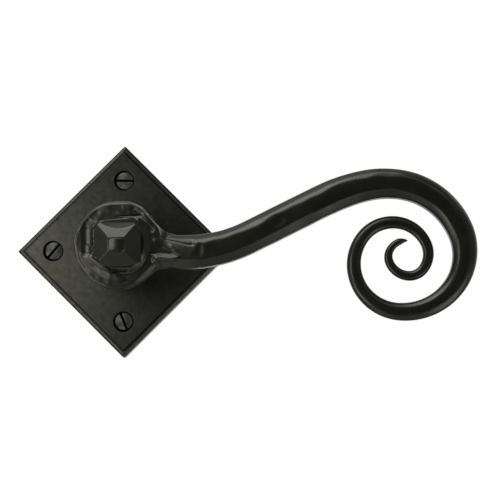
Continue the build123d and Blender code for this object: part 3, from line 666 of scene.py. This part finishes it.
def net_faces(inside, index):
    """A quad round each grid edge that the surface crosses, which faces outwards."""
    faces = []
    for axis in range(3):
        u, v = (axis + 1) % 3, (axis + 2) % 3
        low, high = [slice(1, -1)] * 3, [slice(1, -1)] * 3
        low[axis], high[axis] = slice(0, -1), slice(1, None)
        a, b = inside[tuple(low)], inside[tuple(high)]
        for flip, mask in ((False, a & ~b), (True, ~a & b)):
            at = np.argwhere(mask)
            at[:, [u, v]] += 1
            quad = []
            for du, dv in ((0, 0), (-1, 0), (-1, -1), (0, -1)):
                c = at.copy()
                c[:, u] += du
                c[:, v] += dv
                quad.append(index[tuple(c.T)])
            quad = np.stack(quad, 1)
            faces.append(quad[:, ::-1] if flip else quad)
    return np.concatenate(faces)


def surface_net(field, axes):
    """Vertices and quads of the field's zero surface, with each vertex drawn onto it, and its normals."""
    size = max(np.diff(a).max() for a in axes)
    values = sampled(field, axes)
    verts, index = net_vertices(values, axes)
    faces = net_faces(values < 0, index)

    def onto(points, g):
        move = field(points)[:, None] * g / np.maximum((g * g).sum(1), LEAST_SLOPE)[:, None]
        return points - np.clip(move, -size, size)

    for _ in range(DRAW_ROUNDS):
        verts = onto(verts, gradient(field, verts))
    ring = np.concatenate([faces[:, [k, (k + 1) % 4]] for k in range(4)])
    for _ in range(EVEN_ROUNDS):
        total, hits = np.zeros_like(verts), np.zeros(len(verts))
        for a, b in ((0, 1), (1, 0)):
            for k in range(3):
                total[:, k] += np.bincount(ring[:, a], verts[ring[:, b], k], len(verts))
            hits += np.bincount(ring[:, a], minlength=len(verts))
        g = gradient(field, verts)
        unit = g / np.linalg.norm(g, axis=1)[:, None]
        shift = total / hits[:, None] - verts
        shift -= (shift * unit).sum(1)[:, None] * unit
        verts = onto(verts + EVEN_SHARE * shift, g)
    verts = onto(verts, gradient(field, verts))
    normals = gradient(field, verts)
    normals /= np.linalg.norm(normals, axis=1)[:, None]
    return verts, faces, normals


def to_frame(p):
    """(x, z, h) to the axes of the part's frame."""
    return np.stack([p[:, 0], -p[:, 2], p[:, 1]], 1)


def spaced(*parts):
    """Grid lines from part to part: (start, end, spacing) each."""
    lines = [np.linspace(a, b, round((b - a) / step), endpoint=False) for a, b, step in parts]
    return np.concatenate(lines + [np.array([parts[-1][1]])])


def net_object(name, field, grid, places=((0.0, 0.0, 0.0),)):
    """An object from the field's surface, set at each place (x, z, turn in degrees)."""
    net, quads, slopes = surface_net(field, [spaced(*parts) for parts in grid])
    verts, faces, normals = [], [], []
    for x, z, turn in places:
        c, s = math.cos(math.radians(turn)), math.sin(math.radians(turn))
        spin = np.array(((c, s, 0), (-s, c, 0), (0, 0, 1)))
        faces.append(quads + len(verts) * len(net))
        verts.append(net @ spin + np.array((x, z, 0.0)))
        normals.append(slopes @ spin)
    verts, faces, normals = (np.concatenate(rows) for rows in (verts, faces, normals))
    mesh = bpy.data.meshes.new(name)
    mesh.from_pydata((to_frame(verts) * MM).tolist(), [], faces.tolist())
    mesh.polygons.foreach_set("use_smooth", np.ones(len(faces), bool))
    mesh.update()
    mesh.normals_split_custom_set_from_vertices(to_frame(normals).tolist())
    obj = bpy.data.objects.new(name, mesh)
    bpy.context.scene.collection.objects.link(obj)
    return obj


# Grid lines of each piece along x, z and h: (start, end, spacing) from part to part
FINE, COARSE = 0.29, 0.45
LEVER_GRID = (
    ((-17.0, 34.0, FINE), (34.0, 131.5, COARSE)),
    ((-29.0, -17.0, COARSE), (-17.0, 17.0, FINE), (17.0, 33.5, COARSE)),
    ((21.2, 36.5, COARSE), (36.5, 41.8, FINE)),
)
SEAT_GRID = (((-11.5, 11.5, 0.23),), ((-11.5, 11.5, 0.23),), ((39.5, 41.7, 0.2),))
STUD_GRID = (((-9.0, 9.6, 0.2),), ((-9.2, 8.6, 0.2),), ((27.3, 40.8, 0.4), (40.8, 47.6, 0.2)))
SCREW_GRID = (((-3.7, 3.7, 0.15),), ((-3.7, 3.7, 0.15),), ((-20.6, 6.6, 0.2), (6.6, 9.3, 0.14)))
screw_places = [
    (SCREW_RING * math.cos(k * math.pi / 2) + dx, SCREW_RING * math.sin(k * math.pi / 2) + dz, turn)
    for k, (turn, (dx, dz)) in enumerate(zip(SLOT_TURNS, OFF_CENTRE))
]
lever = net_object("lever_forged", lever_distance, LEVER_GRID)
seat = net_object("stud_seat_forged", seat_distance, SEAT_GRID)
stud = net_object("pyramid_stud_forged", stud_distance, STUD_GRID)
screws = net_object("rose_screws_forged", screw_distance, SCREW_GRID, screw_places)
for piece, node, body, slot in (
    (lever, "lever", "handle", "black_lever"), (seat, "stud_seat", "handle", "black_lever"),
    (stud, "pyramid_stud", "handle", "black_lever"), (screws, "rose_screws", "rose", "black_screw"),
):
    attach(piece, body)
    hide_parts(node)


# Turned and stamped pieces: the solids with their edges broken by a width

EDGE_WIDTHS = {
    "rose_plate": 0.16, "lever_neck": 0.25, "spindle": 0.15, "thrust_washer": 0.12, "grub_screw": 0.10,
}
# Angle from which an edge is sharp, segments of its round, and the angle below which faces are one
SHARP, EDGE_SEGMENTS, FLAT = 28.0, 2, 0.6
# Distance in metres within which vertices are one, and heights that count as the same
SAME_PLACE, SAME_LEVEL = 2e-7, 0.02
# The plate's step: heights of its foot and head, and where in its width and how high the line in it is
PLATE_FOOT, PLATE_HEAD, LINE_SHARE, LINE_H = 8.45, 9.0, 0.45, 7.3
# How far the step at the upper right is drawn in, and how near the plate's edge it is
PLATE_SHIFT, PLATE_NEAR = 0.35, 3.0


def at_level(v, h):
    return abs(-v.co.y / MM - h) < SAME_LEVEL


def place_key(co):
    return tuple(round(c, 6) for c in co)


def shift_step(bm):
    """Draw the step of the plate's upper right side in."""
    half = max((v.co.x + v.co.z) / ROOT2 for v in bm.verts)
    for v in bm.verts:
        near = (v.co.x + v.co.z) / ROOT2 > half - PLATE_NEAR * MM
        if near and (at_level(v, PLATE_FOOT) or at_level(v, PLATE_HEAD)):
            v.co.x -= PLATE_SHIFT * MM / ROOT2
            v.co.z -= PLATE_SHIFT * MM / ROOT2


def sink_line(bm):
    """Sink a line into the plate's sloping step."""
    rungs, places = [], {}
    for e in bm.edges:
        foot, head = e.verts if at_level(e.verts[0], PLATE_FOOT) else reversed(e.verts)
        if at_level(foot, PLATE_FOOT) and at_level(head, PLATE_HEAD):
            rungs.append(e)
            place = foot.co.lerp(head.co, LINE_SHARE)
            places[place_key((foot.co + head.co) / 2)] = (place.x, -LINE_H * MM, place.z)
    cut = bmesh.ops.subdivide_edges(bm, edges=rungs, cuts=1)
    for v in cut["geom_inner"]:
        if isinstance(v, bmesh.types.BMVert) and place_key(v.co) in places:
            v.co = places[place_key(v.co)]


def broken_edges(node, width, body):
    """A copy of a node's mesh with its sharp edges rounded to a width in mm."""
    mesh = nodes[node].data.copy()
    mesh.name = node + "_finished"
    bm = bmesh.new()
    bm.from_mesh(mesh)
    bmesh.ops.remove_doubles(bm, verts=bm.verts, dist=SAME_PLACE)
    bmesh.ops.dissolve_limit(
        bm, angle_limit=math.radians(FLAT), verts=bm.verts, edges=bm.edges, use_dissolve_boundaries=False,
    )
    if node == "rose_plate":
        shift_step(bm)
        sink_line(bm)
    sharp = [
        e for e in bm.edges if len(e.link_faces) == 2 and e.calc_face_angle() > math.radians(SHARP)
    ]
    bmesh.ops.bevel(
        bm, geom=sharp, offset=width * MM, offset_type="OFFSET", segments=EDGE_SEGMENTS, profile=0.5,
        affect="EDGES", clamp_overlap=True,
    )
    for f in bm.faces:
        f.smooth = True
    bm.to_mesh(mesh)
    bm.free()
    if mesh.has_custom_normals:
        mesh.normals_split_custom_set([(0, 0, 0)] * len(mesh.loops))
    obj = bpy.data.objects.new(node + "_finished", mesh)
    bpy.context.scene.collection.objects.link(obj)
    weighted = obj.modifiers.new("weighted", "WEIGHTED_NORMAL")
    weighted.mode = "FACE_AREA"
    weighted.keep_sharp = False
    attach(obj, body)
    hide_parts(node)
    return obj


slots = {p["node"]: p["material_slot"] for p in frame["record"]["subparts"]}
finished = {
    node: broken_edges(node, width, nodes[node]["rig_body"])
    for node, width in EDGE_WIDTHS.items()
}


# Materials

# Colour of the reflections of all finishes, and of the painted shade in recesses
TINT = (1.0, 1.0, 0.82)
PAINTED_SHADE = (0.002, 0.002, 0.002)
# Noise of the mottled colour and of the uneven sheen: size in patches, detail, roughness and the range used
COLOUR_NOISE = (1.0, 4.0, 0.55, 0.3, 0.7)
SHEEN_NOISE = (0.55, 5.0, 0.6, 0.25, 0.75)
# Orange peel and fine grain: size, detail, roughness and strength of the bump
PEEL = (1.6, 2.0, 0.5, 0.8)
GRAIN = (0.35, 2.0, 0.6, 0.7)
GRAIN_DEPTH = 0.01
# Darkest and lightest colour, roughness and how far it is uneven, specular level and, where they aren't the
# usual ones, the share of metal, the size of the patches and the depth of the peel
FINISHES = {
    "black_lever": ((0.005, 0.005, 0.0042), (0.008, 0.0079, 0.0068), 0.30, 0.04, 0.45),
    "black_rose": ((0.006, 0.006, 0.005), (0.010, 0.010, 0.0082), 0.36, 0.06, 0.45, 0.0, 4.5, 0.035),
    "black_neck": ((0.008, 0.008, 0.007), (0.012, 0.012, 0.010), 0.42, 0.05, 0.40),
    "black_screw": ((0.022, 0.022, 0.018), (0.11, 0.112, 0.105), 0.46, 0.08, 0.5, 0.8, 2.4),
    "black_oxide": ((0.03, 0.03, 0.03), (0.05, 0.05, 0.048), 0.42, 0.06, 0.5, 0.8),
    "steel": ((0.45, 0.45, 0.44), (0.55, 0.55, 0.54), 0.32, 0.06, 0.5, 1.0),
    "spring_steel": ((0.30, 0.30, 0.30), (0.40, 0.40, 0.40), 0.30, 0.05, 0.5, 1.0),
    "zinc_steel": ((0.55, 0.56, 0.57), (0.66, 0.67, 0.68), 0.38, 0.08, 0.5, 1.0),
    "bronze": ((0.42, 0.27, 0.12), (0.52, 0.34, 0.16), 0.36, 0.06, 0.5, 1.0),
    "nylon": ((0.010, 0.010, 0.010), (0.016, 0.016, 0.016), 0.5, 0.05, 0.4),
}
# Painted shade on the screws: heights over which it ends below the dome and again below the head
DOME_SHADE_END, SHANK_SHADE_END = (8.4, 8.6), (6.2, 5.6)
# Painted shade on the plate, in the sinks and in the line along its edge: distances from a screw's axis
# over which that in its sink ends, heights over which all of it ends at the back, distances x + z over
# which that in the line ends outwards and inwards, and the share of the finish that it leaves there
SINK_SHADE_END, BACK_SHADE_END = (3.78, 3.95), (4.0, 3.0)
LINE_OUT, LINE_IN, LINE_LEFT = (38.0, 38.3), (37.5, 36.9), 0.45
# Mottling of the plate: size, detail, roughness, the range used and the shares it gives
MOTTLE = (2.2, 5.0, 0.65, 0.3, 0.7, 0.78, 1.22)


def tree(name):
    mat = bpy.data.materials.new(name)
    mat.use_nodes = True
    nt = mat.node_tree
    return mat, nt, nt.nodes["Principled BSDF"]


def noise(nt, coord, size, detail, rough):
    n = nt.nodes.new("ShaderNodeTexNoise")
    n.inputs["Scale"].default_value = 1.0 / (size * MM)
    n.inputs["Detail"].default_value = detail
    n.inputs["Roughness"].default_value = rough
    nt.links.new(coord, n.inputs["Vector"])
    return n.outputs["Fac"]


def spread(nt, value, lo, hi, to_lo, to_hi):
    m = nt.nodes.new("ShaderNodeMapRange")
    for key, v in (("From Min", lo), ("From Max", hi), ("To Min", to_lo), ("To Max", to_hi)):
        m.inputs[key].default_value = v
    nt.links.new(value, m.inputs["Value"])
    return m.outputs["Result"]


def bump(nt, height, depth, strength, normal=None):
    b = nt.nodes.new("ShaderNodeBump")
    b.inputs["Distance"].default_value = depth * MM
    b.inputs["Strength"].default_value = strength
    nt.links.new(height, b.inputs["Height"])
    if normal is not None:
        nt.links.new(normal, b.inputs["Normal"])
    return b.outputs["Normal"]


def maths(nt, operation, a, b=None):
    m = nt.nodes.new("ShaderNodeMath")
    m.operation = operation
    for socket, value in zip(m.inputs, (a, b)):
        if value is None:
            continue
        if isinstance(value, (int, float)):
            socket.default_value = value
        else:
            nt.links.new(value, socket)
    return m.outputs[0]


def shade(nt, share):
    """Darken a finish to a share of its colour and gloss, as painted shade in its recesses."""
    shader = nt.nodes["Principled BSDF"]
    mix = nt.nodes.new("ShaderNodeMix")
    mix.data_type = "RGBA"
    mix.inputs["A"].default_value = (*PAINTED_SHADE, 1)
    nt.links.new(shader.inputs["Base Color"].links[0].from_socket, mix.inputs["B"])
    nt.links.new(share, mix.inputs["Factor"])
    nt.links.new(mix.outputs["Result"], shader.inputs["Base Color"])
    for key in ("Specular IOR Level", "Metallic"):
        socket = shader.inputs[key]
        nt.links.new(maths(nt, "MULTIPLY", share, socket.default_value), socket)


def finish(name, dark, light, rough, uneven, level, metal=0.0, patch=6.0, peel_depth=0.01):
    """A finish with mottled colour, uneven sheen, fine grain and a slight orange peel."""
    mat, nt, shader = tree(name)
    coord = nt.nodes.new("ShaderNodeTexCoord").outputs["Object"]
    size, detail, fine, lo, hi = COLOUR_NOISE
    mottled = noise(nt, coord, patch * size, detail, fine)
    mix = nt.nodes.new("ShaderNodeMix")
    mix.data_type = "RGBA"
    mix.inputs["A"].default_value = (*dark, 1)
    mix.inputs["B"].default_value = (*light, 1)
    nt.links.new(spread(nt, mottled, lo, hi, 0.0, 1.0), mix.inputs["Factor"])
    nt.links.new(mix.outputs["Result"], shader.inputs["Base Color"])
    size, detail, fine, lo, hi = SHEEN_NOISE
    sheen = noise(nt, coord, patch * size, detail, fine)
    nt.links.new(spread(nt, sheen, lo, hi, rough - uneven, rough + uneven), shader.inputs["Roughness"])
    n = bump(nt, noise(nt, coord, *PEEL[:3]), peel_depth, PEEL[3])
    n = bump(nt, noise(nt, coord, *GRAIN[:3]), GRAIN_DEPTH, GRAIN[3], n)
    nt.links.new(n, shader.inputs["Normal"])
    shader.inputs["Metallic"].default_value = metal
    shader.inputs["Specular IOR Level"].default_value = level
    shader.inputs["Specular Tint"].default_value = (*TINT, 1)
    return mat


def part_place(nt):
    """The coordinates of the part's frame, together and one by one."""
    coord = nt.nodes["Texture Coordinate"].outputs["Object"]
    split = nt.nodes.new("ShaderNodeSeparateXYZ")
    nt.links.new(coord, split.inputs[0])
    return coord, split.outputs


def shade_ends_over(nt, value, span, left=0.0, sign=1.0):
    """A rise from what the painted shade leaves to 1 over a span in mm."""
    return spread(nt, value, sign * span[0] * MM, sign * span[1] * MM, left, 1.0)


def shade_screw_recesses(nt):
    """Painted shade in the slots of the screws and round the rims of their heads."""
    _, place = part_place(nt)
    dome = shade_ends_over(nt, place["Y"], DOME_SHADE_END, sign=-1.0)
    below = shade_ends_over(nt, place["Y"], SHANK_SHADE_END, sign=-1.0)
    shade(nt, maths(nt, "MAXIMUM", dome, below))


def shade_plate_recesses(nt):
    """Painted shade in the sinks round the screws and in the line along the edge, on a mottled plate."""
    coord, place = part_place(nt)
    x, z = (maths(nt, "ABSOLUTE", place[key]) for key in "XZ")
    away = maths(nt, "SUBTRACT", maths(nt, "MAXIMUM", x, z), SCREW_RING * MM)
    beside = maths(nt, "MINIMUM", x, z)
    squares = [maths(nt, "MULTIPLY", value, value) for value in (away, beside)]
    reach = maths(nt, "SQRT", maths(nt, "ADD", *squares))
    below = shade_ends_over(nt, place["Y"], BACK_SHADE_END, sign=-1.0)
    sinks = maths(nt, "MAXIMUM", shade_ends_over(nt, reach, SINK_SHADE_END), below)
    edge = maths(nt, "ADD", x, z)
    outer, inner = (shade_ends_over(nt, edge, span, LINE_LEFT) for span in (LINE_OUT, LINE_IN))
    line = maths(nt, "MAXIMUM", maths(nt, "MAXIMUM", outer, inner), below)
    mottle = spread(nt, noise(nt, coord, *MOTTLE[:3]), *MOTTLE[3:])
    shade(nt, maths(nt, "MULTIPLY", maths(nt, "MINIMUM", sinks, line), mottle))


def paint(obj, mat):
    obj.data.materials.clear()
    obj.data.materials.append(mat)


by_slot = {name: finish(name, *look) for name, look in FINISHES.items()}
# painted shade in the screws' slots and round their heads
shade_screw_recesses(by_slot["black_screw"].node_tree)
# painted shade in the plate's screw sinks and along its edge line
shade_plate_recesses(by_slot["black_rose"].node_tree)
for pieces in (nodes, finished):
    for name, piece in pieces.items():
        paint(piece, by_slot[slots[name]])
for piece in (lever, seat, stud):
    paint(piece, by_slot["black_lever"])
paint(screws, by_slot["black_screw"])


# Floor, light and camera, in metres

FLOOR_Z, FLOOR_HALF, FLOOR_COLOUR = -0.32, 1.3, (0.80, 0.80, 0.78)
CARD_ROUGH, FLAG_COLOUR = 0.9, (0.01, 0.01, 0.01)
STUDIO_TINT = (1.0, 0.99, 0.95)
WORLD_STRENGTH = 0.45
# Cards that only show in reflections: middle, the two ways across, and glow
FLAGS = {
    "flag_front": ((0.0, -1.7, 0.45), (2.6, 0, 0), (0, 0, 2.1), 0.02),
    "flag_low": ((0.0, -0.81, -0.318), (2.6, 0, 0), (0, 1.1, 0), 0.03),
    "flag_under": ((0.20, -0.06, -0.317), (0.34, 0, 0), (0, 0.25, 0), 0.4),
    "flag_rim_left": ((-0.45, -0.335, -0.316), (0.60, 0, 0), (0, 0.33, 0), 3.5),
    "flag_rim_right": ((0.575, -0.34, -0.3155), (0.59, 0, 0), (0, 0.32, 0), 2.0),
    "flag_behind": ((0.0, 0.46, -0.316), (2.4, 0, 0), (0, 0.8, 0), 0.2),
    "flag_right": ((1.3, -0.5, 0.45), (0, 2.2, 0), (0, 0, 1.6), 0.22),
    "flag_left": ((-1.3, -0.25, 0.65), (0, 2.7, 0), (0, 0, 2.0), 0.15),
    "flag_left_low": ((-0.66, -0.045, -0.3165), (1.08, 0, 0), (0, 0.21, 0), 0.05),
    "flag_top_right": ((0.97, -0.1, 1.29), (1.7, 0, 0), (0, 1.4, 0), 0.12),
    "flag_back": ((0.25, 0.8, 1.3), (2.1, 0, 0), (0, 0.8, 0), 0.4),
    "flag_top": ((-0.05, -0.1, 1.32), (0.4, 0, 0), (0, 1.0, 0), 0.1),
}
# Soft lights: turn and rise as seen from their target, distance, width, height, radiance and target
SOFTBOXES = {
    "key": (-42.0, 54.0, 1.2, 0.96, 1.0, 3.5, (0.03, 0.0, 0.0)),
    "fill": (-26.0, 1.0, 0.18, 0.09, 0.09, 3.8, (0.0, 0.0, 0.0)),
    "top": (0.0, 87.0, 1.2, 0.56, 0.56, 2.4, (0.03, 0.0, 0.0)),
    "kicker": (72.0, -47.0, 0.34, 0.16, 0.16, 1.5, (0.10, 0.0, 0.0)),
    "side": (-80.0, -20.0, 0.6, 0.32, 0.32, 0.5, (0.0, 0.0, 0.0)),
}
# Camera: focal length and image width in pixels, sensor width in mm, place, and where it looks
FOCAL_PX, IMAGE_PX, SENSOR = 1714.0, 500.0, 36.0
CAMERA_AT = (0.0519, -0.6537, -0.0540)
CAMERA_YAW, CAMERA_PITCH = -0.38, 4.82
CAMERA_CLIP = (0.01, 50.0)


def card(name, corners, colour):
    mesh = bpy.data.meshes.new(name)
    mesh.from_pydata(corners, [], [(0, 1, 2, 3)])
    obj = bpy.data.objects.new(name, mesh)
    bpy.context.scene.collection.objects.link(obj)
    mat, _, shader = tree(name)
    shader.inputs["Base Color"].default_value = (*colour, 1)
    shader.inputs["Roughness"].default_value = CARD_ROUGH
    shader.inputs["Specular IOR Level"].default_value = 0.0
    mesh.materials.append(mat)
    return obj


def flag(name, centre, across, up, glow):
    """A card outside the view that only shows in reflections."""
    c, a, b = Vector(centre), Vector(across) / 2, Vector(up) / 2
    obj = card(name, [c - a - b, c + a - b, c + a + b, c - a + b], FLAG_COLOUR)
    shader = obj.data.materials[0].node_tree.nodes["Principled BSDF"]
    shader.inputs["Emission Color"].default_value = (*STUDIO_TINT, 1)
    shader.inputs["Emission Strength"].default_value = glow
    obj.visible_camera = False
    obj.visible_diffuse = False
    obj.visible_shadow = False


def direction(turn, rise):
    """Unit vector from the part towards a light: turn 0 is the front, 90 the right."""
    t, r = math.radians(turn), math.radians(rise)
    return Vector((math.sin(t) * math.cos(r), -math.cos(t) * math.cos(r), math.sin(r)))


def softbox(name, turn, rise, distance, width, height, strength, target):
    """A soft rectangular light of about that radiance, turned to the target."""
    data = bpy.data.lights.new(name, "AREA")
    data.shape = "RECTANGLE"
    data.size, data.size_y = width, height
    data.energy = strength * math.pi * width * height
    obj = bpy.data.objects.new(name, data)
    obj.location = Vector(target) + direction(turn, rise) * distance
    obj.rotation_euler = (-direction(turn, rise)).to_track_quat("-Z", "Y").to_euler()
    obj.visible_camera = False
    bpy.context.scene.collection.objects.link(obj)


def studio_world():
    """White where it is seen or mirrored, and a dim even light for the rest."""
    world = bpy.data.worlds.new("studio")
    world.use_nodes = True
    nt = world.node_tree
    nt.nodes.clear()
    path = nt.nodes.new("ShaderNodeLightPath").outputs
    seen = maths(nt, "MAXIMUM", path["Is Camera Ray"], path["Is Glossy Ray"])
    seen = maths(nt, "MAXIMUM", seen, path["Is Transmission Ray"])
    white = nt.nodes.new("ShaderNodeBackground")
    white.inputs["Color"].default_value = (1, 1, 1, 1)
    dim = nt.nodes.new("ShaderNodeBackground")
    dim.inputs["Color"].default_value = (*STUDIO_TINT, 1)
    dim.inputs["Strength"].default_value = WORLD_STRENGTH
    mix = nt.nodes.new("ShaderNodeMixShader")
    out = nt.nodes.new("ShaderNodeOutputWorld")
    for socket, source in zip(mix.inputs, (seen, dim.outputs[0], white.outputs[0])):
        nt.links.new(source, socket)
    nt.links.new(mix.outputs[0], out.inputs["Surface"])
    return world


def photo_camera():
    data = bpy.data.cameras.new("camera")
    data.lens = FOCAL_PX / IMAGE_PX * SENSOR
    data.sensor_width = SENSOR
    data.clip_start, data.clip_end = CAMERA_CLIP
    obj = bpy.data.objects.new("camera", data)
    bpy.context.scene.collection.objects.link(obj)
    yaw, pitch = math.radians(CAMERA_YAW), math.radians(CAMERA_PITCH)
    ahead = Vector((math.sin(yaw) * math.cos(pitch), math.cos(yaw) * math.cos(pitch), math.sin(pitch)))
    obj.location = CAMERA_AT
    obj.rotation_euler = ahead.to_track_quat("-Z", "Y").to_euler()
    return obj


card("floor", [
    (-FLOOR_HALF, -FLOOR_HALF, FLOOR_Z), (FLOOR_HALF, -FLOOR_HALF, FLOOR_Z),
    (FLOOR_HALF, FLOOR_HALF, FLOOR_Z), (-FLOOR_HALF, FLOOR_HALF, FLOOR_Z),
], FLOOR_COLOUR)
for name, row in FLAGS.items():
    flag(name, *row)
for name, row in SOFTBOXES.items():
    softbox(name, *row)
bpy.context.scene.world = studio_world()
bpy.context.scene.camera = photo_camera()
bpy.context.scene.view_settings.view_transform = "Standard"
